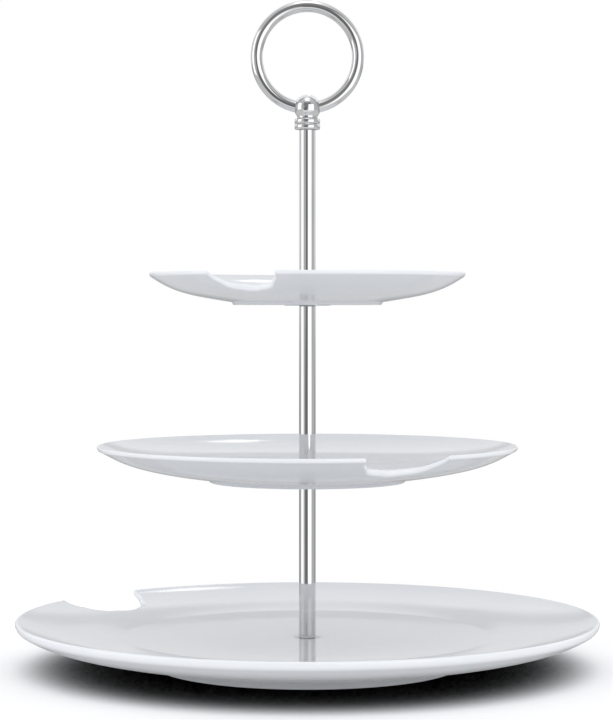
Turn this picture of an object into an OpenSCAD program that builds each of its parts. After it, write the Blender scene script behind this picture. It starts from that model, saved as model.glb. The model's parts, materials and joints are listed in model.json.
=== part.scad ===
// Tiered cake stand: three glazed porcelain plates, each with a scalloped notch in its rim, clamped
// between three screwed rods, with a beaded collar, a ball and an upright carrying ring on top.
// Millimetres, +Z up. The origin is at the middle of the bottom plate's foot, on the table.

/* [Bottom plate] */
// Outside diameter of the bottom plate
bottom_plate_d = 280; // [260:1:340]
// Height of the bottom plate from its foot to the top of its rim
bottom_plate_h = 22.9; // [21:0.1:30]
// Outside diameter of the bottom plate's foot ring
bottom_foot_d = 147.6; // [120:0.2:160]
// How far the bottom plate's foot ring stands down from the underside
bottom_foot_h = 4.3; // [2:0.1:5]
// Diameter of the bottom plate's flat middle
bottom_well_d = 110; // [70:1:120]
// Height of the bottom plate's flat middle above the foot
bottom_well_h = 13.3; // [12:0.1:15]
// Thickness of the bottom plate where it is clamped
bottom_floor_t = 6.3; // [5:0.1:6.6]
// Radius of the rolled edge of the bottom plate
bottom_rim_r = 2; // [1.2:0.1:2.4]
// Slope of the bottom plate's dish at the rolled edge, in degrees
bottom_dish_slope = 31; // [25:1:36]
// Share of the dish that leaves the bottom plate's middle level
bottom_well_pull = 0.2; // [0.1:0.01:0.4]
// Share of the dish that bends up towards the bottom plate's edge
bottom_dish_pull = 0.2; // [0.1:0.01:0.4]
// Slope of the bottom plate's underside at the rolled edge, in degrees
bottom_rim_slope = 25; // [20:0.5:40]
// Share of the underside that bends up towards the bottom plate's edge
bottom_rim_pull = 0.11; // [0.1:0.01:0.4]
// Slope of the bottom plate's underside at the foot, in degrees
bottom_foot_slope = 7.2; // [5:0.1:10]
// Share of the underside that runs out straight from the bottom plate's foot
bottom_foot_pull = 0.9; // [0.4:0.01:0.9]
// Reach of the notch in the bottom plate, from its centre to the bottom of a scallop
bottom_notch_r = 27; // [15:0.5:30]
// Direction of the notch in the bottom plate, from +X towards +Y
bottom_notch_angle = 142; // [0:1:359]

/* [Middle plate] */
// Outside diameter of the middle plate
middle_plate_d = 202; // [190:1:250]
// Height of the middle plate from its foot to the top of its rim
middle_plate_h = 17.7; // [16:0.1:24]
// Outside diameter of the middle plate's foot ring
middle_foot_d = 94.6; // [80:0.2:110]
// How far the middle plate's foot ring stands down from the underside
middle_foot_h = 1.8; // [1.2:0.1:3]
// Diameter of the middle plate's flat middle
middle_well_d = 80; // [50:1:90]
// Height of the middle plate's flat middle above the foot
middle_well_h = 8.2; // [7.6:0.1:10.5]
// Thickness of the middle plate where it is clamped
middle_floor_t = 4; // [3.5:0.1:5]
// Radius of the rolled edge of the middle plate
middle_rim_r = 1; // [0.8:0.1:2]
// Slope of the middle plate's dish at the rolled edge, in degrees
middle_dish_slope = 31; // [25:1:36]
// Share of the dish that leaves the middle plate's middle level
middle_well_pull = 0.3; // [0.1:0.01:0.4]
// Share of the dish that bends up towards the middle plate's edge
middle_dish_pull = 0.3; // [0.1:0.01:0.4]
// Slope of the middle plate's underside at the rolled edge, in degrees
middle_rim_slope = 24.5; // [20:0.5:40]
// Share of the underside that bends up towards the middle plate's edge
middle_rim_pull = 0.21; // [0.1:0.01:0.4]
// Slope of the middle plate's underside at the foot, in degrees
middle_foot_slope = 7.2; // [5:0.1:10]
// Share of the underside that runs out straight from the middle plate's foot
middle_foot_pull = 0.79; // [0.4:0.01:0.9]
// Reach of the notch in the middle plate, from its centre to the bottom of a scallop
middle_notch_r = 21.6; // [12:0.2:24]
// Direction of the notch in the middle plate, from +X towards +Y
middle_notch_angle = 297; // [0:1:359]

/* [Top plate] */
// Outside diameter of the top plate
top_plate_d = 152; // [140:1:188]
// Height of the top plate from its foot to the top of its rim
top_plate_h = 15.6; // [14:0.1:22]
// Outside diameter of the top plate's foot ring
top_foot_d = 72; // [56:0.2:80]
// How far the top plate's foot ring stands down from the underside
top_foot_h = 1.6; // [1.2:0.1:3]
// Diameter of the top plate's flat middle
top_well_d = 56; // [36:1:66]
// Height of the top plate's flat middle above the foot
top_well_h = 5.5; // [5:0.1:8]
// Thickness of the top plate where it is clamped
top_floor_t = 3.3; // [3:0.1:4]
// Radius of the rolled edge of the top plate
top_rim_r = 0.9; // [0.8:0.1:1.8]
// Slope of the top plate's dish at the rolled edge, in degrees
top_dish_slope = 34; // [25:1:36]
// Share of the dish that leaves the top plate's middle level
top_well_pull = 0.3; // [0.1:0.01:0.4]
// Share of the dish that bends up towards the top plate's edge
top_dish_pull = 0.3; // [0.1:0.01:0.4]
// Slope of the top plate's underside at the rolled edge, in degrees
top_rim_slope = 35; // [20:0.5:40]
// Share of the underside that bends up towards the top plate's edge
top_rim_pull = 0.38; // [0.1:0.01:0.4]
// Slope of the top plate's underside at the foot, in degrees
top_foot_slope = 9.3; // [5:0.1:10]
// Share of the underside that runs out straight from the top plate's foot
top_foot_pull = 0.5; // [0.4:0.01:0.9]
// Reach of the notch in the top plate, from its centre to the bottom of a scallop
top_notch_r = 17.2; // [10:0.2:20]
// Direction of the notch in the top plate, from +X towards +Y
top_notch_angle = 246; // [0:1:359]

/* [Plates in common] */
// Width of the band that a foot ring stands on
foot_band = 3.2; // [2:0.1:5]
// Scallops in a notch
scallops = 5; // [4:1:7]
// Radius of a scallop as a share of the notch's reach
scallop_share = 0.5; // [0.4:0.01:0.6]
// How far a notch's centre lies outside the rim, as a share of the notch's reach
notch_outside = 0.1; // [0:0.01:0.2]

/* [Rods] */
// Diameter of the three rods
rod_d = 8; // [8:0.1:12]
// Length of the lower rod
lower_rod_l = 76; // [60:1:100]
// Length of the middle rod
middle_rod_l = 76; // [60:1:100]
// Length of the upper rod
upper_rod_l = 78; // [60:1:100]
// Chamfer at the ends of the rods
rod_chamfer = 0.3; // [0.1:0.1:0.6]
// Outside diameter of the studs and the screw
stud_d = 5; // [4:0.1:6]
// Length of stud held in the rod above its plate
stud_held_l = 12; // [8:0.5:20]
// Length of stud that screws into the rod below its plate
stud_reach_l = 13; // [10:0.5:20]
// Radial play between a stud and the thread that it screws into
thread_play = 0.05; // [0.01:0.01:0.1]
// Radial play between a stud and the hole in a plate
hole_play = 0.4; // [0.3:0.1:0.6]
// Empty depth past the end of a stud
blind_end = 2; // [1:0.5:5]

/* [Washers] */
// Thickness of the nylon washers between the rods and the glaze
nylon_t = 0.7; // [0.5:0.1:1]
// How far a nylon washer's edge lies inside the rod's surface
nylon_inset = 0.15; // [0.1:0.05:0.3]
// Outside diameter of the steel washers under the plates
support_d = 22; // [14:1:30]
// Thickness of the steel washers
support_t = 1.5; // [1:0.1:2]
// Outside diameter of the rubber gaskets under the plates
gasket_d = 20; // [12:1:28]
// Thickness of the rubber gaskets
gasket_t = 1; // [0.5:0.1:2]
// Diameter of the base screw's head
screw_head_d = 9.6; // [8:0.1:12]
// Height of the base screw's head
screw_head_h = 2.8; // [2:0.1:3]

/* [Handle] */
// Diameter of the beads of the collar
collar_d = 12.5; // [11:0.1:16]
// Height of the collar
collar_h = 5.3; // [4:0.1:8]
// Diameter of the groove between the collar's beads
collar_groove_d = 11.2; // [10:0.1:14]
// Diameter of the ball
ball_d = 12.8; // [12:0.1:18]
// Diameter of the neck under the ball
neck_d = 10; // [8:0.1:11]
// Height of the ball's centre above the collar
ball_rise = 5.2; // [4:0.1:8]
// Outside diameter of the carrying ring
ring_d = 54.5; // [45:0.5:80]
// Thickness of the carrying ring's wire
ring_wire_d = 5.8; // [4:0.1:7]
// Play between the ring and the bore through the ball
ring_play = 0.03; // [0.01:0.01:0.1]

/* [Hidden] */
$fn = 96;

eps = 0.01;
foot_flare = 2;                              // how far a foot ring widens where it meets the underside
foot_round = 0.8;                            // rounding of a foot ring's outer edge
stud_hole_d = stud_d + 2 * thread_play;
plate_hole_d = stud_d + 2 * hole_play;
washer_hole_d = stud_d + 2 * hole_play;
screw_slot = screw_head_d * 0.6;             // length of the cross recess
screw_slot_w = 1.1;
screw_slot_deep = 1.6;

// heights of the pieces, from the table up
bottom_recess = bottom_well_h - bottom_floor_t;
middle_recess = middle_well_h - middle_floor_t;
top_recess = top_well_h - top_floor_t;
lower_rod_z = bottom_well_h + nylon_t;
lower_rod_top = lower_rod_z + lower_rod_l;
middle_clamp_z = lower_rod_top + support_t + gasket_t;
middle_plate_z = middle_clamp_z - middle_recess;
middle_rod_z = middle_plate_z + middle_well_h + nylon_t;
middle_rod_top = middle_rod_z + middle_rod_l;
top_clamp_z = middle_rod_top + support_t + gasket_t;
top_plate_z = top_clamp_z - top_recess;
upper_rod_z = top_plate_z + top_well_h + nylon_t;
upper_rod_top = upper_rod_z + upper_rod_l;
ball_z = upper_rod_top + collar_h + ball_rise;
ring_centre_r = (ring_d - ring_wire_d) / 2;
stud_hole_l = stud_reach_l + blind_end;

// a point of the cubic curve from a to d that leaves towards b and arrives from c
function curve_point(a, b, c, d, t) =
    a * pow(1 - t, 3) + b * 3 * t * pow(1 - t, 2) + c * 3 * t * t * (1 - t) + d * pow(t, 3);

function curve(a, b, c, d, steps) = [for (i = [0:steps]) curve_point(a, b, c, d, i / steps)];

function along(angle, length) = [cos(angle), sin(angle)] * length;

// Half section of a plate. rim is the centre of the rolled edge, over and under are where the dish and
// the underside leave it, and the curves' pulls are shares of the width that each curve spans.
function plate_section(d, h, foot_d, foot_h, well_d, well_h, recess, rim_r, dish, underside) =
    let (
        rim = [d / 2 - rim_r, h - rim_r],
        well = [well_d / 2, well_h],
        foot = [foot_d / 2 + foot_flare, foot_h],
        over = rim + along(dish[0] + 90, rim_r),
        under = rim + along(underside[0] - 90, rim_r),
        dish_w = rim[0] - well[0],
        under_w = rim[0] - foot[0],
        to_rim = along(underside[0], under_w * underside[1]),
        from_foot = along(underside[2], under_w * underside[3]),
        band = foot_d / 2 - foot_band
    )
    concat(
        [[plate_hole_d / 2, well_h]],
        curve(well, well + [dish_w * dish[1], 0], over - along(dish[0], dish_w * dish[2]), over, 12),
        [for (angle = [90:-30:-30]) rim + along(angle, rim_r)],
        curve(under, under - to_rim, foot + from_foot, foot, 12),
        [
            [foot_d / 2, foot_round],
            [foot_d / 2 - foot_round * 0.3, foot_round * 0.3],
            [foot_d / 2 - foot_round, 0],
            [band, 0],
            [band - 1.6, recess],
            [plate_hole_d / 2, recess]
        ]
    );

// scalloped notch cut down through the rim of a plate
module notch(plate_d, reach, angle, height) {
    scallop_r = reach * scallop_share;
    pitch = 180 / scallops;
    rotate([0, 0, angle]) translate([plate_d / 2 + reach * notch_outside, 0, -eps]) {
        cylinder(r = reach * 0.75, h = height + 1);
        for (i = [0:scallops - 1])
            rotate([0, 0, 180 + (i - (scallops - 1) / 2) * pitch])
                translate([reach - scallop_r, 0, 0])
                    cylinder(r = scallop_r, h = height + 1);
    }
}

module plate(d, h, foot_d, foot_h, well_d, well_h, recess, rim_r, dish, underside, notch_r,
             notch_angle) {
    difference() {
        rotate_extrude()
            polygon(plate_section(d, h, foot_d, foot_h, well_d, well_h, recess, rim_r, dish,
                                  underside));
        notch(d, notch_r, notch_angle, h);
    }
}

module bottom_plate() {
    dish = [bottom_dish_slope, bottom_well_pull, bottom_dish_pull];
    underside = [bottom_rim_slope, bottom_rim_pull, bottom_foot_slope, bottom_foot_pull];
    color("whitesmoke")
        plate(bottom_plate_d, bottom_plate_h, bottom_foot_d, bottom_foot_h, bottom_well_d, bottom_well_h,
              bottom_recess, bottom_rim_r, dish, underside, bottom_notch_r, bottom_notch_angle);
}

module middle_plate() {
    dish = [middle_dish_slope, middle_well_pull, middle_dish_pull];
    underside = [middle_rim_slope, middle_rim_pull, middle_foot_slope, middle_foot_pull];
    color("whitesmoke") translate([0, 0, middle_plate_z])
        plate(middle_plate_d, middle_plate_h, middle_foot_d, middle_foot_h, middle_well_d, middle_well_h,
              middle_recess, middle_rim_r, dish, underside, middle_notch_r, middle_notch_angle);
}

module top_plate() {
    dish = [top_dish_slope, top_well_pull, top_dish_pull];
    underside = [top_rim_slope, top_rim_pull, top_foot_slope, top_foot_pull];
    color("whitesmoke") translate([0, 0, top_plate_z])
        plate(top_plate_d, top_plate_h, top_foot_d, top_foot_h, top_well_d, top_well_h,
              top_recess, top_rim_r, dish, underside, top_notch_r, top_notch_angle);
}

// a round bar with chamfered ends
module bar(d, length, chamfer) {
    rotate_extrude() polygon([
        [0, 0], [d / 2 - chamfer, 0], [d / 2, chamfer],
        [d / 2, length - chamfer], [d / 2 - chamfer, length], [0, length]
    ]);
}

module hole(d, z, length) {
    translate([0, 0, z]) cylinder(d = d, h = length);
}

// rod with a blind hole in each end; below and above are the holes' diameters and depths
module rod(length, below_d, below_l, above_d, above_l) {
    difference() {
        bar(rod_d, length, rod_chamfer);
        hole(below_d, -eps, below_l + eps);
        hole(above_d, length - above_l, above_l + eps);
    }
}

module lower_rod() {
    color("silver") translate([0, 0, lower_rod_z])
        rod(lower_rod_l, stud_d, stud_held_l, stud_hole_d, stud_hole_l);
}

module middle_rod() {
    color("silver") translate([0, 0, middle_rod_z])
        rod(middle_rod_l, stud_d, stud_held_l, stud_hole_d, stud_hole_l);
}

module upper_rod() {
    color("silver") translate([0, 0, upper_rod_z])
        rod(upper_rod_l, stud_d, stud_held_l, stud_d, stud_held_l);
}

// stud held in the rod that stands at z, reaching down into the rod that ends at below_z
module joint_stud(z, below_z) {
    length = z + stud_held_l - below_z + stud_reach_l;
    translate([0, 0, below_z - stud_reach_l]) bar(stud_d, length, rod_chamfer);
}

module middle_joint_stud() {
    color("darkgray") joint_stud(middle_rod_z, lower_rod_top);
}

module top_joint_stud() {
    color("darkgray") joint_stud(upper_rod_z, middle_rod_top);
}

module washer(d, hole_d, z, thickness) {
    translate([0, 0, z]) difference() {
        cylinder(d = d, h = thickness);
        hole(hole_d, -eps, thickness + 2 * eps);
    }
}

module nylon_washer(z) {
    color("ivory") washer(rod_d - 2 * nylon_inset, washer_hole_d, z, nylon_t);
}

module base_rod_washer() {
    nylon_washer(bottom_well_h);
}

module middle_rod_washer() {
    nylon_washer(middle_rod_z - nylon_t);
}

module top_rod_washer() {
    nylon_washer(upper_rod_z - nylon_t);
}

module middle_support_washer() {
    color("gray") washer(support_d, washer_hole_d, lower_rod_top, support_t);
}

module top_support_washer() {
    color("gray") washer(support_d, washer_hole_d, middle_rod_top, support_t);
}

module middle_gasket() {
    color("dimgray") washer(gasket_d, washer_hole_d, lower_rod_top + support_t, gasket_t);
}

module top_gasket() {
    color("dimgray") washer(gasket_d, washer_hole_d, middle_rod_top + support_t, gasket_t);
}

module base_gasket() {
    color("dimgray") washer(gasket_d, washer_hole_d, bottom_recess - gasket_t, gasket_t);
}

module base_washer() {
    color("gray") washer(support_d, washer_hole_d, bottom_recess - gasket_t - support_t, support_t);
}

// pan head screw that goes up through the bottom plate into the lower rod
module base_screw() {
    head_z = bottom_recess - gasket_t - support_t;
    edge = screw_head_h * 0.3;
    color("darkgray") difference() {
        union() {
            translate([0, 0, head_z - screw_head_h]) rotate_extrude() polygon([
                [0, 0], [screw_head_d / 2 - edge * 1.6, 0], [screw_head_d / 2 - edge * 0.5, edge * 0.5],
                [screw_head_d / 2, edge * 1.6], [screw_head_d / 2, screw_head_h], [0, screw_head_h]
            ]);
            translate([0, 0, head_z - eps])
                bar(stud_d, lower_rod_z + stud_held_l - head_z + eps, rod_chamfer);
        }
        for (turn = [0, 90])
            translate([0, 0, head_z - screw_head_h]) rotate([0, 0, turn])
                cube([screw_slot, screw_slot_w, 2 * screw_slot_deep], center = true);
    }
}

// collar of two beads with a groove between them
module handle_collar() {
    bead = collar_h / 4;
    groove_r = collar_groove_d / 2;
    color("silver") translate([0, 0, upper_rod_top]) difference() {
        rotate_extrude() polygon(concat(
            [[0, 0], [groove_r, 0]],
            [for (i = [0:7]) [groove_r + (collar_d / 2 - groove_r) * sin((i + 0.5) * 22.5),
                              bead * (1 - cos((i + 0.5) * 22.5))]],
            [[groove_r, 2 * bead]],
            [for (i = [0:7]) [groove_r + (collar_d / 2 - groove_r) * sin((i + 0.5) * 22.5),
                              bead * (3 - cos((i + 0.5) * 22.5))]],
            [[groove_r, 4 * bead], [0, 4 * bead]]
        ));
        hole(stud_d, -eps, collar_h + 2 * eps);
    }
}

module ring_wire(wire_d) {
    translate([0, 0, ball_z + ring_centre_r]) rotate([90, 0, 0])
        rotate_extrude() translate([ring_centre_r, 0]) circle(d = wire_d);
}

// ball on a short neck, with a spigot that screws down through the collar into the upper rod
module handle_ball() {
    color("silver") difference() {
        union() {
            difference() {
                translate([0, 0, ball_z]) sphere(d = ball_d);
                translate([0, 0, ball_z - ball_rise - ball_d])
                    cylinder(d = 2 * ball_d, h = ball_d);
            }
            hole(neck_d, ball_z - ball_rise, ball_rise / 2);
            hole(stud_d, upper_rod_top - stud_held_l, collar_h + stud_held_l + eps);
        }
        ring_wire(ring_wire_d + 2 * ring_play);
    }
}

module handle_ring() {
    color("silver") ring_wire(ring_wire_d);
}

bottom_plate();
middle_plate();
top_plate();
lower_rod();
middle_rod();
upper_rod();
middle_joint_stud();
top_joint_stud();
base_rod_washer();
middle_rod_washer();
top_rod_washer();
middle_support_washer();
top_support_washer();
middle_gasket();
top_gasket();
base_screw();
base_washer();
base_gasket();
handle_collar();
handle_ball();
handle_ring();
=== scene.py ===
import json
import math

import bpy
import numpy as np
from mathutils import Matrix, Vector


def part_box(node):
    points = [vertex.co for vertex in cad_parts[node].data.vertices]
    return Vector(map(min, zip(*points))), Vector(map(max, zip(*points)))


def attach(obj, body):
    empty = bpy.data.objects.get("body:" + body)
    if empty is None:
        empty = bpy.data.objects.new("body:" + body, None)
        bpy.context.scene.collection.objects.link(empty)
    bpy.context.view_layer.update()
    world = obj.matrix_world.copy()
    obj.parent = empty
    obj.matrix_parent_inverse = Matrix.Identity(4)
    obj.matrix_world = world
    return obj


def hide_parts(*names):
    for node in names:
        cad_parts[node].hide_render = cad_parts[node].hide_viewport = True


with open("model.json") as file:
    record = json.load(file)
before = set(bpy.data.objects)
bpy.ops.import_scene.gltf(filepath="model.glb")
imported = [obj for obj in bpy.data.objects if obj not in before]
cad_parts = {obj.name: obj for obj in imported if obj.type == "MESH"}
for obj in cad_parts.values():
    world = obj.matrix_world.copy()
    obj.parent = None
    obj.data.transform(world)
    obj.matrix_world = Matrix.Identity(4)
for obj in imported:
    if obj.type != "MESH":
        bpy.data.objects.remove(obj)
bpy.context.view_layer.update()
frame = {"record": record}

bodyOf = {
    node: body
    for body, nodes in frame["record"]["behaviour"]["bodies"].items()
    for node in nodes
}
mm = 0.001
fullTurn = 2 * math.pi
spinLimit = 200


# Helpers that draw, turn, cut and hand over a piece

def choose(*pieces):
    for other in list(bpy.context.selected_objects):
        other.select_set(False)
    for piece in pieces:
        piece.select_set(True)
    if pieces:
        bpy.context.view_layer.objects.active = pieces[0]


def editing(piece):
    choose(piece)
    bpy.ops.object.mode_set(mode="EDIT")
    bpy.ops.mesh.select_all(action="SELECT")


def settled(merge=2e-6):
    bpy.ops.mesh.select_all(action="SELECT")
    bpy.ops.mesh.remove_doubles(threshold=merge)
    bpy.ops.mesh.normals_make_consistent(inside=False)
    bpy.ops.object.mode_set(mode="OBJECT")


def drawn(name, path):
    choose()
    bpy.ops.mesh.primitive_plane_add(size=mm, location=(0, 0, 0))
    piece = bpy.context.object
    piece.name = name
    editing(piece)
    bpy.ops.mesh.merge(type="CENTER")
    bpy.ops.transform.translate(value=(path[0][0], 0, path[0][1]))
    for start, end in zip(path, path[1:]):
        step = (end[0] - start[0], 0, end[1] - start[1])
        bpy.ops.mesh.extrude_vertices_move(TRANSFORM_OT_translate={"value": step})
    return piece


def turned(name, path, steps=96):
    piece = drawn(name, path)
    # Spin is slow on a fine shape, so that one is turned by a modifier.
    if steps > spinLimit:
        bpy.ops.object.mode_set(mode="OBJECT")
        screw = piece.modifiers.new("turn", "SCREW")
        screw.angle = fullTurn
        screw.steps = screw.render_steps = steps
        choose(piece)
        bpy.ops.object.modifier_apply(modifier=screw.name)
        editing(piece)
    else:
        bpy.ops.mesh.select_all(action="SELECT")
        bpy.ops.mesh.spin(steps=steps, angle=fullTurn, center=(0, 0, 0), axis=(0, 0, 1))
    settled()
    return piece


def arc(centre, radius, start, end, steps):
    points = []
    for i in range(steps + 1):
        angle = math.radians(start + (end - start) * i / steps)
        points.append((centre[0] + radius * math.cos(angle), centre[1] + radius * math.sin(angle)))
    return points


def disc(name, node, hole, edge, steps=96):
    low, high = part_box(node)
    outer = high.x
    path = [(hole, low.z + edge / 2), (hole + edge / 2, low.z)]
    path += arc((outer - edge, low.z + edge), edge, -90, 0, 4)
    path += arc((outer - edge, high.z - edge), edge, 0, 90, 4)
    path += [(hole + edge / 2, high.z), (hole, high.z - edge / 2), (hole, low.z + edge / 2)]
    return turned(name, path, steps)


def joined(name, first, *others):
    choose(first, *others)
    bpy.ops.object.join()
    piece = bpy.context.object
    piece.name = name
    return piece


def carved(piece, cutter):
    choose(piece)
    cut = piece.modifiers.new("cut", "BOOLEAN")
    cut.operation = "DIFFERENCE"
    cut.object = cutter
    cut.solver = "EXACT"
    bpy.ops.object.modifier_apply(modifier=cut.name)
    bpy.data.objects.remove(cutter)


def done(piece, node, material, angle=35):
    choose(piece)
    bpy.ops.object.shade_smooth_by_angle(angle=math.radians(angle))
    piece.data.materials.clear()
    piece.data.materials.append(material)
    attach(piece, bodyOf[node])
    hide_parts(node)
    return piece


def adder(tree):
    def add(kind, inputs=None, **settings):
        node = tree.nodes.new("ShaderNode" + kind)
        for key, value in settings.items():
            setattr(node, key, value)
        for key, value in (inputs or {}).items():
            if isinstance(value, bpy.types.NodeSocket):
                tree.links.new(value, node.inputs[key])
            else:
                node.inputs[key].default_value = value
        return node
    return add


def newMaterial(name):
    material = bpy.data.materials.new(name)
    material.use_nodes = True
    tree = material.node_tree
    tree.nodes.clear()
    return material, adder(tree)


def blendColours(add, factor, first, second):
    mix = add("Mix", {"Factor": factor}, data_type="RGBA")
    for key, value in (("A", first), ("B", second)):
        socket = [s for s in mix.inputs if s.name == key and s.type == "RGBA"][0]
        if isinstance(value, bpy.types.NodeSocket):
            mix.id_data.links.new(value, socket)
        else:
            socket.default_value = value
    return [s for s in mix.outputs if s.type == "RGBA"][0]


def scaled(add, value, low, high, newLow, newHigh):
    return add("MapRange", {"Value": value, "From Min": low, "From Max": high,
                            "To Min": newLow, "To Max": newHigh}).outputs["Result"]


def grainFrom(add, coords, scale, detail=2.0, rough=0.5):
    return add("TexNoise", {"Vector": coords, "Scale": scale, "Detail": detail,
                            "Roughness": rough}).outputs["Fac"]


def bumped(add, height, strength, distance, normal=None):
    inputs = {"Height": height, "Strength": strength, "Distance": distance}
    if normal:
        inputs["Normal"] = normal
    return add("Bump", inputs).outputs["Normal"]


def surfaced(add, **inputs):
    shader = add("BsdfPrincipled", {key.replace("_", " "): value for key, value in inputs.items()})
    add("OutputMaterial", {"Surface": shader.outputs["BSDF"]})
    return shader


# The glaze pools, has a rare speck and leaves the foot ring bare; along the rim's edge its colour is
# whitened as a painted highlight.
glaze = {
    "pale": (0.712, 0.728, 0.748, 1),
    "deep": (0.688, 0.706, 0.729, 1),
    "speck": (0.34, 0.31, 0.28, 1),
    "bare": (0.74, 0.70, 0.63, 1),
    "bare shade": (0.66, 0.62, 0.56, 1),
    # lip: the white of the painted highlight along the rim's edge
    "lip": (0.87, 0.89, 0.915, 1),
}


def makePorcelain():
    material, add = newMaterial("porcelain")
    coords = add("TexCoord").outputs["Object"]
    pool = grainFrom(add, coords, 24, 3)
    body = blendColours(add, scaled(add, pool, 0.3, 0.7, 0, 1), glaze["pale"], glaze["deep"])
    cells = add("TexVoronoi", {"Vector": coords, "Scale": 190})
    pick = add("SeparateColor", {"Color": cells.outputs["Color"]}).outputs["Red"]
    rare = add("Math", {0: pick, 1: 0.992}, operation="GREATER_THAN").outputs[0]
    near = scaled(add, cells.outputs["Distance"], 0.02, 0.06, 0.5, 0)
    speck = add("Math", {0: rare, 1: near}, operation="MULTIPLY").outputs[0]
    body = blendColours(add, speck, body, glaze["speck"])
    bare = add("Attribute", attribute_name="bare").outputs["Fac"]
    clay = blendColours(add, grainFrom(add, coords, 900, 4), glaze["bare"], glaze["bare shade"])
    # The lip attribute marks the rim's edge, where the colour is whitened as a painted highlight.
    lip = add("Attribute", attribute_name="lip").outputs["Fac"]
    body = blendColours(add, lip, body, glaze["lip"])
    colour = blendColours(add, bare, body, clay)
    sheen = scaled(add, grainFrom(add, coords, 60, 4), 0.3, 0.7, 0.05, 0.11)
    dry = scaled(add, bare, 0, 1, 0, 0.55)
    roughness = add("Math", {0: sheen, 1: dry}, operation="ADD").outputs[0]
    ripple = bumped(add, grainFrom(add, coords, 34, 2), 0.07, 0.0012)
    peel = bumped(add, grainFrom(add, coords, 260, 1), 0.05, 0.0003, ripple)
    sand = grainFrom(add, coords, 2600, 3)
    gritHeight = add("Math", {0: sand, 1: bare}, operation="MULTIPLY").outputs[0]
    grit = bumped(add, gritHeight, 0.5, 0.0002, peel)
    surfaced(add, Base_Color=colour, Roughness=roughness, IOR=1.5, Normal=grit)
    return material


def makeChrome():
    material, add = newMaterial("chrome")
    coords = add("TexCoord").outputs["Object"]
    haze = grainFrom(add, coords, 55, 3)
    lapped = add("Mapping", {"Vector": coords, "Scale": (1, 1, 14)}).outputs["Vector"]
    lines = grainFrom(add, lapped, 420, 4, 0.65)
    tone = blendColours(add, scaled(add, haze, 0.3, 0.7, 0, 1),
                        (0.79, 0.79, 0.795, 1), (0.74, 0.745, 0.755, 1))
    polish = scaled(add, haze, 0.35, 0.75, 0.02, 0.045)
    streak = scaled(add, lines, 0.45, 0.8, 0, 0.03)
    roughness = add("Math", {0: polish, 1: streak}, operation="ADD").outputs[0]
    scratch = bumped(add, lines, 0.004, 0.00002)
    surfaced(add, Base_Color=tone, Metallic=1.0, Roughness=roughness, Normal=scratch)
    return material


def makePlainSteel():
    material, add = newMaterial("plain_steel")
    coords = add("TexCoord").outputs["Object"]
    rings = add("TexWave", {"Vector": coords, "Scale": 900, "Distortion": 1.5, "Detail": 2},
                wave_type="RINGS", rings_direction="Z").outputs["Fac"]
    cloud = grainFrom(add, coords, 220, 4)
    tone = blendColours(add, cloud, (0.50, 0.51, 0.52, 1), (0.61, 0.61, 0.60, 1))
    roughness = scaled(add, cloud, 0.3, 0.7, 0.28, 0.42)
    surfaced(add, Base_Color=tone, Metallic=1.0, Roughness=roughness,
             Normal=bumped(add, rings, 0.15, 0.0001))
    return material


def makeRubber():
    material, add = newMaterial("rubber")
    coords = add("TexCoord").outputs["Object"]
    dust = grainFrom(add, coords, 500, 5, 0.6)
    tone = blendColours(add, scaled(add, dust, 0.4, 0.8, 0, 1),
                        (0.018, 0.018, 0.019, 1), (0.05, 0.049, 0.047, 1))
    roughness = scaled(add, dust, 0.3, 0.7, 0.55, 0.8)
    surfaced(add, Base_Color=tone, Roughness=roughness, Normal=bumped(add, dust, 0.3, 0.0001))
    return material


def makeNylon():
    material, add = newMaterial("nylon")
    coords = add("TexCoord").outputs["Object"]
    flow = grainFrom(add, coords, 300, 3)
    tone = blendColours(add, flow, (0.80, 0.79, 0.75, 1), (0.70, 0.69, 0.65, 1))
    roughness = scaled(add, flow, 0.3, 0.7, 0.35, 0.5)
    surfaced(add, Base_Color=tone, Roughness=roughness, Subsurface_Weight=0.2,
             Subsurface_Scale=0.0006, Normal=bumped(add, flow, 0.1, 0.0001))
    return material


porcelain = makePorcelain()
chrome = makeChrome()
plainSteel = makePlainSteel()
rubber = makeRubber()
nylon = makeNylon()
print("materials ready")


# A plate's dish and its underside are curves, each given by its slopes in degrees and its pulls as
# shares of its width. The notch bends the rim's columns inwards within the spread on either side.
plateHole = 2.9 * mm
holeChamfer = 0.3 * mm
columns = 720
curveSteps = 400
spread = math.radians(25)
footBlend = 2 * mm
rimGap = 0.25 * mm
footBand = {"width": 3.2 * mm, "round": 0.8 * mm}
scallops = {"pitch": math.radians(36), "last": 2, "sweep": math.radians(105), "outside": 0.1}
outlineStep = 0.1 * mm
cornerRound = 0.6 * mm
turnRound = 5 * mm
# Reach of the painted highlight in from the rim's edge, as a share of the rim's rounding, and its level at
# the edge.
paintedHighlightWidth = {"share": 0.55, "start": 1.25}

bottomPlate = {
    "node": "bottom_plate", "radius": 140 * mm, "height": 22.9 * mm,
    "foot": 73.8 * mm, "foot rise": 4.3 * mm, "well": 55 * mm, "well rise": 13.3 * mm,
    "recess": 7.0 * mm, "rim": 2.0 * mm, "dish": (31, 0.2, 0.2), "under": (25, 0.11, 7.2, 0.9),
    "reach": 27 * mm, "angle": 142, "inner": 80 * mm, "notch edge": 2.0 * mm,
    "ridge": (88 * mm, 0.065, 30 * mm),
}
middlePlate = {
    "node": "middle_plate", "radius": 101 * mm, "height": 17.7 * mm,
    "foot": 47.3 * mm, "foot rise": 1.8 * mm, "well": 40 * mm, "well rise": 8.2 * mm,
    "recess": 4.2 * mm, "rim": 1.0 * mm, "dish": (31, 0.3, 0.3), "under": (24.5, 0.21, 7.2, 0.79),
    "reach": 21.6 * mm, "angle": 297, "inner": 54 * mm, "notch edge": 1.6 * mm,
}
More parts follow.
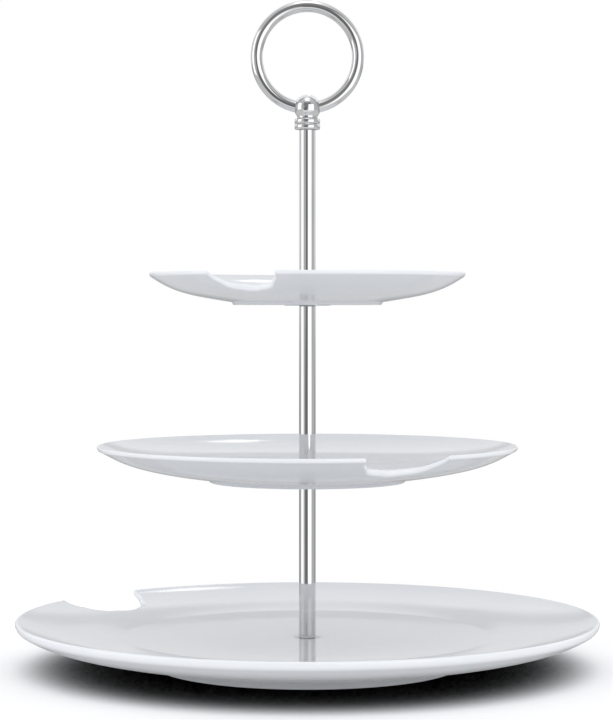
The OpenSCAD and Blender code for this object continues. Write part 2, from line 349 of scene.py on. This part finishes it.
topPlate = {
    "node": "top_plate", "radius": 76 * mm, "height": 15.6 * mm,
    "foot": 36 * mm, "foot rise": 1.6 * mm, "well": 28 * mm, "well rise": 5.5 * mm,
    "recess": 2.2 * mm, "rim": 0.9 * mm, "dish": (34, 0.3, 0.3), "under": (35, 0.38, 9.3, 0.5),
    "reach": 17.2 * mm, "angle": 246, "inner": 42 * mm, "notch edge": 1.4 * mm,
}


def bezier(a, b, c, d, steps):
    t = np.linspace(0, 1, steps + 1)[:, None]
    a, b, c, d = (np.array(p, float) for p in (a, b, c, d))
    return a * (1 - t) ** 3 + 3 * b * t * (1 - t) ** 2 + 3 * c * t * t * (1 - t) + d * t ** 3


def along(degrees, length):
    return np.array([math.cos(math.radians(degrees)), math.sin(math.radians(degrees))]) * length


def plateSurfaces(p):
    radius, rim = p["radius"], p["rim"]
    slope, leave, arrive = p["dish"]
    sine, cosine = math.sin(math.radians(slope)), math.cos(math.radians(slope))
    crest = p["height"] + rim * (1 - sine) * sine / cosine + rim - rim * cosine
    well = np.array([p["well"], p["well rise"]])
    end = np.array([radius, crest])
    width = radius - p["well"]
    over = bezier(well, well + [width * leave, 0], end - along(slope, width * arrive), end, curveSteps)
    if "ridge" in p:
        at, steep, fade = p["ridge"]
        past = np.clip((over[:, 0] - at) / fade, 0, 1)
        over[:, 1] += steep * fade * past * (1 - past) ** 2
    underSlope, underPull, footSlope, footPull = p["under"]
    foot = np.array([p["foot"] + footBlend, p["foot rise"]])
    low = np.array([radius, crest - 2 * rim - rimGap])
    width = radius - foot[0]
    under = bezier(foot, foot + along(footSlope, width * footPull),
                   low - along(underSlope, width * underPull), low, curveSteps)
    return over, under


def notchOutline(p):
    radius, reach = p["radius"], p["reach"]
    centre = radius + scallops["outside"] * reach
    pitch, last, sweep = scallops["pitch"], scallops["last"], scallops["sweep"]
    psi = np.linspace(-sweep, sweep, 3000)
    lobe = np.clip(np.round(psi / pitch), -last, last) * pitch
    rho = reach * np.cos(psi - lobe)
    points = np.stack([centre - rho * np.cos(psi), rho * np.sin(psi)], 1)
    points = points[(np.hypot(points[:, 0], points[:, 1]) < radius) & (rho > 0)]
    corner = math.atan2(points[-1, 1], points[-1, 0])
    wide = spread + math.radians(5)
    before = np.linspace(-wide, -corner, 600, endpoint=False)
    after = np.linspace(corner, wide, 601)[1:]
    rimBefore = np.stack([np.cos(before), np.sin(before)], 1) * radius
    rimAfter = np.stack([np.cos(after), np.sin(after)], 1) * radius
    return np.concatenate([rimBefore, points, rimAfter])


def spaced(points, step):
    length = np.concatenate([[0], np.cumsum(np.hypot(*np.diff(points, axis=0).T))])
    where = np.arange(0, length[-1], step)
    return np.stack([np.interp(where, length, points[:, i]) for i in (0, 1)], 1)


def softened(points, sigma, step):
    reach = int(4 * sigma / step)
    kernel = np.exp(-0.5 * (np.arange(-reach, reach + 1) * step / sigma) ** 2)
    kernel /= kernel.sum()
    padded = np.concatenate([np.repeat(points[:1], reach, 0), points, np.repeat(points[-1:], reach, 0)])
    return np.stack([np.convolve(padded[:, i], kernel, "valid") for i in (0, 1)], 1)


def plateRows(p, over, under):
    radius, rim = p["radius"], p["rim"]

    def lift(r):
        return float(np.interp(r, over[:, 0], over[:, 1]))

    def drop(r):
        return float(np.interp(r, under[:, 0], under[:, 1]))

    lip = radius - 1.5 * p["notch edge"]
    rows = [(plateHole, p["well rise"] - holeChamfer, "core")]
    rows += [(plateHole + holeChamfer, p["well rise"], "core")]
    rows += [(p["well"] * s, p["well rise"], "core") for s in (0.15, 0.35, 0.55, 0.75, 0.9)]
    radii = list(np.linspace(p["well"], lip, 34))
    if "ridge" in p:
        radii = sorted(radii + [p["ridge"][0] - 0.25 * mm, p["ridge"][0] + 0.25 * mm])
    rows += [(r, lift(r), "over") for r in radii]
    turns = np.radians(np.linspace(8, 90, 11))
    ease = [radius - rim - (radius - rim - lip) * s for s in (0.66, 0.33, 0)]
    rows += [(r, lift(r), "over") for r in ease]
    for turn in turns:
        d = rim * (1 - math.sin(turn))
        rows.append((radius - d, lift(radius - d) - rim + rim * math.cos(turn), "over"))
    top = rows[-1][1]
    foot = drop(radius) + rim
    rows += [(radius, top + (foot - top) * s, "edge") for s in (0.33, 0.67)]
    for turn in turns[::-1]:
        d = rim * (1 - math.sin(turn))
        rows.append((radius - d, drop(radius - d) + rim - rim * math.cos(turn), "under"))
    rows += [(r, drop(r), "under") for r in ease[::-1]]
    start = p["foot"] + footBlend
    rows += [(r, drop(r), "under") for r in np.linspace(lip, start, 28)]
    outer, rise, band = p["foot"], p["foot rise"], p["foot"] - footBand["width"]
    sink = min(rise * 0.45, 1.4 * mm)
    for a in np.radians((30, 60, 90)):
        rows.append((outer + (start - outer) * (1 - math.sin(a)), rise - sink * (1 - math.cos(a)), "core"))
    edge = footBand["round"]
    rows += [(x, z, "core") for x, z in arc((outer - edge, edge), edge, 0, -90, 5)]
    rows += [(band + 0.9 * mm, 0, "bare"), (band + 0.4 * mm, 0.1 * mm, "bare"), (band, 0.5 * mm, "core")]
    recess = p["recess"]
    rows += [(band - 1.6 * mm * s, 0.5 * mm + (recess - 0.5 * mm) * s ** 0.8, "core") for s in (0.3, 0.65)]
    rows += [(band - 2.2 * mm, recess - 0.15 * mm, "core"), (band - 4 * mm, recess, "core")]
    rows += [(r, recess, "core") for r in np.linspace(band - 10 * mm, plateHole + holeChamfer, 4)]
    rows += [(plateHole, recess + holeChamfer, "core"), rows[0]]
    return rows


# Strength of the painted highlight at a distance in from the rim's edge.
def paintedHighlightShare(p, distance):
    return np.clip(paintedHighlightWidth["start"] - distance / (paintedHighlightWidth["share"] * p["rim"]), 0, 1)


def shapeNotch(p, piece, rows, over, under, base):
    radius, inner = p["radius"], p["inner"]
    count = len(piece.data.vertices)
    co = np.empty(count * 3)
    piece.data.vertices.foreach_get("co", co)
    co = co.reshape(-1, 3)
    flat = np.hypot(co[:, 0], co[:, 1])
    turn = np.arctan2(co[:, 1], co[:, 0]) - math.radians(p["angle"])
    turn = (turn + math.pi) % fullTurn - math.pi
    table = np.array([(r, z) for r, z, kind in rows])
    gap = (flat[:, None] - table[None, :, 0]) ** 2 + (co[:, 2, None] - base - table[None, :, 1]) ** 2
    row = gap.argmin(1)
    kinds = [kind for r, z, kind in rows]
    bare = np.array([1.0 if kinds[i] == "bare" else 0.0 for i in row])
    layer = piece.data.attributes.new("bare", "FLOAT", "POINT")
    layer.data.foreach_set("value", bare.astype(np.float32))
    movable = np.array([kind in ("over", "under", "edge") for kind in kinds])[row]
    # The painted highlight runs along the rim's edge.
    paintedEdgeHighlight = paintedHighlightShare(p, radius - flat) * movable
    moved = np.where((abs(turn) < spread) & (flat > inner) & movable)[0]

    # Every column within the spread gets a start on the notch's outline and an end on the inner circle.
    step = outlineStep
    outline = spaced(notchOutline(p), step)
    outline = softened(outline, cornerRound, step)
    tangent = np.gradient(outline, axis=0)
    tangent /= np.hypot(*tangent.T)[:, None]
    inward = softened(np.stack([-tangent[:, 1], tangent[:, 0]], 1), turnRound, step)
    inward /= np.hypot(*inward.T)[:, None]
    bearing = np.arctan2(outline[:, 1], outline[:, 0])
    first = int(np.argmax(bearing > -spread))
    last = len(outline) - int(np.argmax(bearing[::-1] < spread))
    share = (turn[moved] + spread) / (2 * spread)
    at = first + share * (last - first)
    index = np.arange(len(outline))
    start = np.stack([np.interp(at, index, outline[:, i]) for i in (0, 1)], 1)
    aim = np.stack([np.interp(at, index, inward[:, i]) for i in (0, 1)], 1)
    target = np.stack([np.cos(turn[moved]), np.sin(turn[moved])], 1)
    end = target * inner
    long = np.hypot(*(end - start).T)

    # The rim's rounding widens to the notch's, and each row keeps its share of the way inwards.
    deep = np.clip((radius - np.hypot(*start.T)) / (3 * mm), 0, 1)
    deep = deep * deep * (3 - 2 * deep)
    rim = p["rim"] + (p["notch edge"] - p["rim"]) * deep
    full = radius - inner
    d = radius - table[row[moved], 0]
    d = np.where(d < p["rim"], d * rim / p["rim"],
                 rim + (d - p["rim"]) * (full - rim) / (full - p["rim"]))
    t = d / long + (d / full) ** 2 * (1 - full / long)
    t = t[:, None]
    hold = 0.33 * long[:, None]
    xy = (start * (1 - t) ** 3 + 3 * (start + aim * hold) * t * (1 - t) ** 2
          + 3 * (end + target * hold) * t * t * (1 - t) + end * t ** 3)
    # Heights come from the plate's own curves, rounded off by the distance to the outline.
    away = np.full(len(moved), 1.0)
    close = np.where(d < 8 * mm)[0]
    for i in close:
        away[i] = np.hypot(*(outline - xy[i]).T).min()
    away[d < 1e-7] = 0
    r = np.hypot(*xy.T)
    up = np.interp(r, over[:, 0], over[:, 1])
    down = np.interp(r, under[:, 0], under[:, 1])
    rim = np.minimum(rim, 0.49 * (up - down))
    fall = rim - np.sqrt(np.maximum(rim ** 2 - np.maximum(rim - away, 0) ** 2, 0))
    names = np.array(kinds)[row[moved]]
    z = np.where(names == "over", up - fall, down + fall)
    wall = names == "edge"
    share = np.where(row[moved] == kinds.index("edge"), 0.33, 0.67)
    z = np.where(wall, (up - rim) + ((down + rim) - (up - rim)) * share, z)
    c, s = math.cos(math.radians(p["angle"])), math.sin(math.radians(p["angle"]))
    co[moved, 0] = xy[:, 0] * c - xy[:, 1] * s
    co[moved, 1] = xy[:, 0] * s + xy[:, 1] * c
    co[moved, 2] = z + base
    # Along the notch the painted highlight follows the distance to the outline; the lip attribute carries
    # it.
    paintedEdgeHighlight[moved] = paintedHighlightShare(p, away)
    lip = piece.data.attributes.new("lip", "FLOAT", "POINT")
    lip.data.foreach_set("value", paintedEdgeHighlight.astype(np.float32))
    piece.data.vertices.foreach_set("co", co.ravel())
    piece.data.update()


def makePlate(p):
    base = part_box(p["node"])[0].z
    over, under = plateSurfaces(p)
    rows = plateRows(p, over, under)
    piece = turned(p["node"] + "_glazed", [(r, z + base) for r, z, kind in rows], columns)
    shapeNotch(p, piece, rows, over, under, base)
    done(piece, p["node"], porcelain, 50)
    print("plate", p["node"], len(piece.data.polygons))


for plateSizes in (bottomPlate, middlePlate, topPlate):
    makePlate(plateSizes)


rodSizes = {"chamfer": 0.3 * mm, "bore": 2.62 * mm, "held": 12.6 * mm, "reach": 15 * mm,
            "screw": 14 * mm}


def makeRod(node, below, above):
    low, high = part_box(node)
    radius, chamfer, bore = high.x, rodSizes["chamfer"], rodSizes["bore"]
    cone = bore * 0.6
    path = [(0, low.z + below + cone), (bore, low.z + below), (bore, low.z + chamfer)]
    path += [(bore + chamfer, low.z), (radius - chamfer, low.z)]
    path += [(radius - chamfer * 0.35, low.z + chamfer * 0.35), (radius, low.z + chamfer)]
    path += [(radius, low.z + chamfer * 1.5)]
    path += [(radius, low.z + (high.z - low.z) * i / 8) for i in range(1, 8)]
    path += [(radius, high.z - chamfer * 1.5)]
    path += [(radius, high.z - chamfer), (radius - chamfer * 0.35, high.z - chamfer * 0.35)]
    path += [(radius - chamfer, high.z), (bore + chamfer, high.z), (bore, high.z - chamfer)]
    path += [(bore, high.z - above), (0, high.z - above - cone)]
    piece = turned(node + "_polished", path, 128)
    return done(piece, node, chrome)


makeRod("lower_rod", rodSizes["screw"], rodSizes["reach"])
makeRod("middle_rod", rodSizes["held"], rodSizes["reach"])
makeRod("upper_rod", rodSizes["held"], rodSizes["held"])

discHole = 2.9 * mm

for node in ("base_rod_washer", "middle_rod_washer", "top_rod_washer"):
    done(disc(node + "_nylon", node, discHole, 0.2 * mm), node, nylon)
for node in ("middle_support_washer", "top_support_washer", "base_washer"):
    done(disc(node + "_pressed", node, discHole, 0.3 * mm), node, plainSteel)
for node in ("middle_gasket", "top_gasket", "base_gasket"):
    done(disc(node + "_cut", node, discHole, 0.2 * mm), node, rubber)

thread = {"pitch": 0.8 * mm, "outer": 2.5 * mm, "root": 2.05 * mm, "steps": 32}


def threaded(name, low, high):
    core = thread["root"] + 0.03 * mm
    path = [(0, low), (core - 0.4 * mm, low), (core, low + 0.4 * mm), (core, high - 0.4 * mm),
            (core - 0.4 * mm, high), (0, high)]
    shank = turned(name + "_core", path, 48)
    turns = int((high - low - 0.6 * mm) / thread["pitch"])
    rise = thread["pitch"]
    z = low + 0.3 * mm
    root, crest = thread["root"] - 0.1 * mm, thread["outer"]
    ridge = drawn(name + "_ridge", [(root, z), (crest, z + rise * 0.4), (crest, z + rise * 0.5),
                                    (root, z + rise * 0.9), (root, z)])
    settled()
    screw = ridge.modifiers.new("screw", "SCREW")
    screw.axis = "Z"
    screw.angle = fullTurn
    screw.screw_offset = rise
    screw.iterations = turns - 1
    screw.steps = thread["steps"]
    screw.render_steps = thread["steps"]
    choose(ridge)
    bpy.ops.object.modifier_apply(modifier=screw.name)
    editing(ridge)
    bpy.ops.mesh.remove_doubles(threshold=1e-6)
    bpy.ops.mesh.select_all(action="DESELECT")
    bpy.ops.mesh.select_mode(type="EDGE")
    bpy.ops.mesh.select_non_manifold()
    bpy.ops.mesh.fill_holes(sides=8)
    bpy.ops.mesh.select_mode(type="VERT")
    settled(1e-7)
    return joined(name, shank, ridge)


for node in ("middle_joint_stud", "top_joint_stud"):
    low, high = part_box(node)
    done(threaded(node + "_threaded", low.z, high.z), node, plainSteel)


screwSizes = {"head": 2.8 * mm, "dome": 1.3 * mm, "slot": (5.2 * mm, 1.0 * mm, 2.4 * mm)}


def makeScrew():
    low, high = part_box("base_screw")
    radius = high.x
    headTop = low.z + screwSizes["head"]
    dome = screwSizes["dome"]
    path = [(0, headTop), (radius - 0.2 * mm, headTop), (radius, headTop - 0.2 * mm)]
    path += [(radius - 0.05 * mm, low.z + dome)]
    for a in np.radians(np.linspace(12, 90, 9)):
        path.append((radius * math.cos(a), low.z + dome * (1 - math.sin(a))))
    path[-1] = (0, path[-1][1])
    head = turned("base_screw_head", path, 96)
    blades = []
    for turn in (0, 90):
        choose()
        bpy.ops.mesh.primitive_cube_add(size=1, location=(0, 0, low.z + 0.6 * mm))
        blade = bpy.context.object
        blade.scale = screwSizes["slot"]
        blade.rotation_euler = (0, 0, math.radians(turn))
        bpy.ops.object.transform_apply(location=True, rotation=True, scale=True)
        editing(blade)
        settled()
        blades.append(blade)
    for blade in blades:
        carved(head, blade)
    return joined("base_screw_pan", head, threaded("base_screw_shank", headTop - 0.5 * mm, high.z))


done(makeScrew(), "base_screw", plainSteel)
print("rods and fixings ready")


collarSizes = {"bore": 2.62 * mm, "waist": 5.6 * mm, "gap": 0.02 * mm}
ballSizes = {"neck": 5.0 * mm, "ring play": 0.03 * mm}
ringSizes = {"steps": 320, "sides": 64}


def makeCollar():
    low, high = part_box("handle_collar")
    bore, waist = collarSizes["bore"], collarSizes["waist"]
    bulge = high.x - waist
    half = (high.z - low.z) / 2
    path = [(bore, low.z)]
    for bead in (0, 1):
        middle = low.z + half * (bead + 0.5)
        for angle in np.radians(np.linspace(-90, 90, 17)):
            tall = half / 2 - collarSizes["gap"]
            path.append((waist + bulge * math.cos(angle), middle + tall * math.sin(angle)))
    path += [(bore, high.z), (bore, low.z)]
    return turned("handle_collar_beaded", path, 128)


def makeTorus(name, centre, outer, wire, steps, sides):
    choose()
    bpy.ops.mesh.primitive_circle_add(vertices=sides, radius=wire, location=(outer - wire, 0, centre.z))
    piece = bpy.context.object
    piece.name = name
    bpy.ops.object.transform_apply(location=True, rotation=True, scale=True)
    editing(piece)
    bpy.ops.mesh.spin(steps=steps, angle=fullTurn, center=(0, 0, centre.z), axis=(0, 1, 0))
    settled()
    return piece


def makeBall():
    low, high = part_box("handle_ball")
    ringLow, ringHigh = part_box("handle_ring")
    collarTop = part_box("handle_collar")[1].z
    radius = high.y
    centre = high.z - radius
    neck = ballSizes["neck"]
    meet = centre - math.sqrt(radius ** 2 - neck ** 2)
    start = math.degrees(math.asin((meet - centre) / radius))
    path = [(0, collarTop), (neck - 0.25 * mm, collarTop), (neck, collarTop + 0.25 * mm)]
    path += [(neck, meet - 0.15 * mm)]
    path += arc((0, centre), radius, start + 2, 90, 40)
    path[-1] = (0, path[-1][1])
    ball = turned("handle_ball_body", path, 128)
    wire = ringHigh.y + ballSizes["ring play"]
    cutter = makeTorus("cutter", (ringLow + ringHigh) / 2, ringHigh.x, wire, 192, 48)
    carved(ball, cutter)
    stud = threaded("handle_ball_spigot", low.z, collarTop + 0.5 * mm)
    return joined("handle_ball_bored", ball, stud)


done(makeCollar(), "handle_collar", chrome, 30)
done(makeBall(), "handle_ball", chrome, 30)
ringLow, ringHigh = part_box("handle_ring")
ring = makeTorus("handle_ring_bent", (ringLow + ringHigh) / 2, ringHigh.x, ringHigh.y,
                 ringSizes["steps"], ringSizes["sides"])
done(ring, "handle_ring", chrome)
print("handle ready")


# Each panel of the studio: what it is measured across, its two limits there, its limits upwards,
# the softness of its edges and its brightness; angles in degrees.
studio = [
    ("back", -75, 75, -12, 40, 10, 0.82),
    ("back", -60, 60, 17, 62, 3, 1.05),
    ("back", -40, 40, 10.5, 16.8, 1.2, 0.6),
    ("back", -72, 72, -14, 2, 5, 0.36),
    ("front", -45, 45, -48, -14, 8, 0.85),
    ("front", -37, 37, 5, 46, 5, 0.24),
    ("front", -21, 4, -26, 12, 3, 0.17),
    ("front", -34, 2, -26, 1.5, 4, 0.17),
    ("side", -26, 26, 50, 144, 14, 1.0),
    ("side", -15, 15, 57, 98, 10, 2.3),
    ("front", -94, -53, -14, 34, 3, 1.42),
    ("front", 9, 61, -27, 27, 3, 1.42),
    ("back", 3.2, 8.8, 37.5, 46, 1.8, 3.8),
]
# The room's brightness behind the panels, at angles upwards in degrees
roomLevels = [
    (-90, 0.45), (-58, 0.5), (-42, 0.66), (-18, 0.64),
    (-6, 0.53), (22, 0.53), (50, 0.62), (90, 0.72),
]
# Light that isn't mirrored comes evenly from the whole room, a little less from below.
ambient = {"above": (1.08, 1.085, 1.1, 1), "below": (0.95, 0.96, 0.98, 1)}


floorSizes = {"radius": 270 * mm, "below": 0.2 * mm, "shadow": 60 * mm, "dark": 0.085, "clear": 0.62}


# The camera sees the floor with its contact shadow deepened. Mirrored, the floor is dim, and all
# other light meets it as a plain pale sheet.
def makeFloor():
    choose()
    bpy.ops.mesh.primitive_circle_add(vertices=128, radius=floorSizes["radius"], fill_type="NGON",
                                      location=(0, 0, -floorSizes["below"]))
    floor = bpy.context.object
    floor.name = "floor"
    material, add = newMaterial("floor")
    coords = add("TexCoord").outputs["Object"]
    tone = blendColours(add, grainFrom(add, coords, 6), (0.93, 0.93, 0.93, 1), (0.955, 0.955, 0.955, 1))
    clear = add("AmbientOcclusion", {"Distance": floorSizes["shadow"]}).outputs["AO"]
    hidden = scaled(add, clear, floorSizes["dark"], floorSizes["clear"], 1, 0)
    cover = add("Math", {0: hidden, 1: 1.6}, operation="POWER").outputs[0]
    shade = add("Math", {0: 1.0, 1: cover}, operation="SUBTRACT").outputs[0]
    seen = blendColours(add, shade, (0.0, 0.0, 0.0, 1), tone)
    path = add("LightPath")
    direct = path.outputs["Is Camera Ray"]
    pale, dim = (0.79, 0.79, 0.80, 1), (0.34, 0.34, 0.34, 1)
    mirrored = blendColours(add, path.outputs["Is Glossy Ray"], pale, dim)
    colour = blendColours(add, direct, mirrored, seen)
    lift = scaled(add, direct, 0, 1, 0.16, 0)
    extra = add("Math", {0: direct, 1: shade}, operation="MULTIPLY").outputs[0]
    glow = add("Math", {0: extra, 1: 0.06, 2: lift}, operation="MULTIPLY_ADD").outputs[0]
    surfaced(add, Base_Color=colour, Roughness=1.0, Specular_IOR_Level=0.0,
             Emission_Color=(1, 1, 1, 1), Emission_Strength=glow)
    floor.data.materials.append(material)


def makeWorld():
    world = bpy.data.worlds.new("studio")
    bpy.context.scene.world = world
    world.use_nodes = True
    tree = world.node_tree
    tree.nodes.clear()
    add = adder(tree)
    way = add("SeparateXYZ", {"Vector": add("TexCoord").outputs["Generated"]})
    x, y, z = (way.outputs[axis] for axis in "XYZ")

    def calc(operation, first, second=0.0):
        return add("Math", {0: first, 1: second}, operation=operation).outputs[0]

    def rising(value, start, end):
        inputs = {"Value": value, "From Min": math.radians(start), "From Max": math.radians(end),
                  "To Min": 0.0, "To Max": 1.0}
        return add("MapRange", inputs, interpolation_type="SMOOTHSTEP").outputs["Result"]

    def between(value, low, high, soft):
        return calc("MULTIPLY", rising(value, low, low + soft), rising(value, high, high - soft))

    toFront = calc("MULTIPLY", y, -1.0)
    front = calc("ARCTAN2", x, toFront)
    back = calc("ARCTAN2", x, y)
    rise = calc("ARCSINE", z)
    side = calc("ARCSINE", x)
    over = calc("ARCTAN2", z, toFront)

    def mixed(mask, first, second):
        return blendColours(add, mask, first, (second, second, second * 1.01, 1))

    ramp = add("ValToRGB", {"Fac": scaled(add, rise, -math.pi / 2, math.pi / 2, 0, 1)})
    elements = ramp.color_ramp.elements
    for element, (degrees, level) in zip(elements, (roomLevels[0], roomLevels[-1])):
        element.position = (degrees + 90) / 180
        element.color = (level, level, level, 1)
    for degrees, level in roomLevels[1:-1]:
        element = elements.new((degrees + 90) / 180)
        element.color = (level, level, level, 1)
    room = ramp.outputs["Color"]
    for across, low, high, rowLow, rowHigh, soft, level in studio:
        across = {"front": front, "back": back, "side": side}[across]
        upright = over if across is side else rise
        mask = calc("MULTIPLY", between(across, low, high, soft), between(upright, rowLow, rowHigh, soft))
        room = mixed(mask, room, level)
    sky = rising(rise, -30, 30)
    soft = blendColours(add, sky, ambient["below"], ambient["above"])
    path = add("LightPath")
    # What is mirrored twice sees a mostly plain room.
    again = add("Math", {0: path.outputs["Glossy Depth"], 1: 1.5}, operation="GREATER_THAN").outputs[0]
    room = blendColours(add, scaled(add, again, 0, 1, 0, 0.65), room, (0.36, 0.36, 0.365, 1))
    seen = blendColours(add, path.outputs["Is Glossy Ray"], soft, room)
    shown = blendColours(add, path.outputs["Is Camera Ray"], seen, (1, 1, 1, 1))
    background = add("Background", {"Color": shown, "Strength": 1.0})
    add("OutputWorld", {"Surface": background.outputs[0]})


view = {"lens": 113.1, "sensor": 36, "place": (-0.4 * mm, -1089 * mm, 171.5 * mm), "down": 1.288}


def makeCamera():
    data = bpy.data.cameras.new("camera")
    data.lens = view["lens"]
    data.sensor_width = view["sensor"]
    camera = bpy.data.objects.new("camera", data)
    bpy.context.scene.collection.objects.link(camera)
    camera.location = view["place"]
    camera.rotation_euler = (math.radians(90 - view["down"]), 0, 0)
    bpy.context.scene.camera = camera


makeFloor()
makeWorld()
makeCamera()
bpy.context.scene.view_settings.view_transform = "Standard"
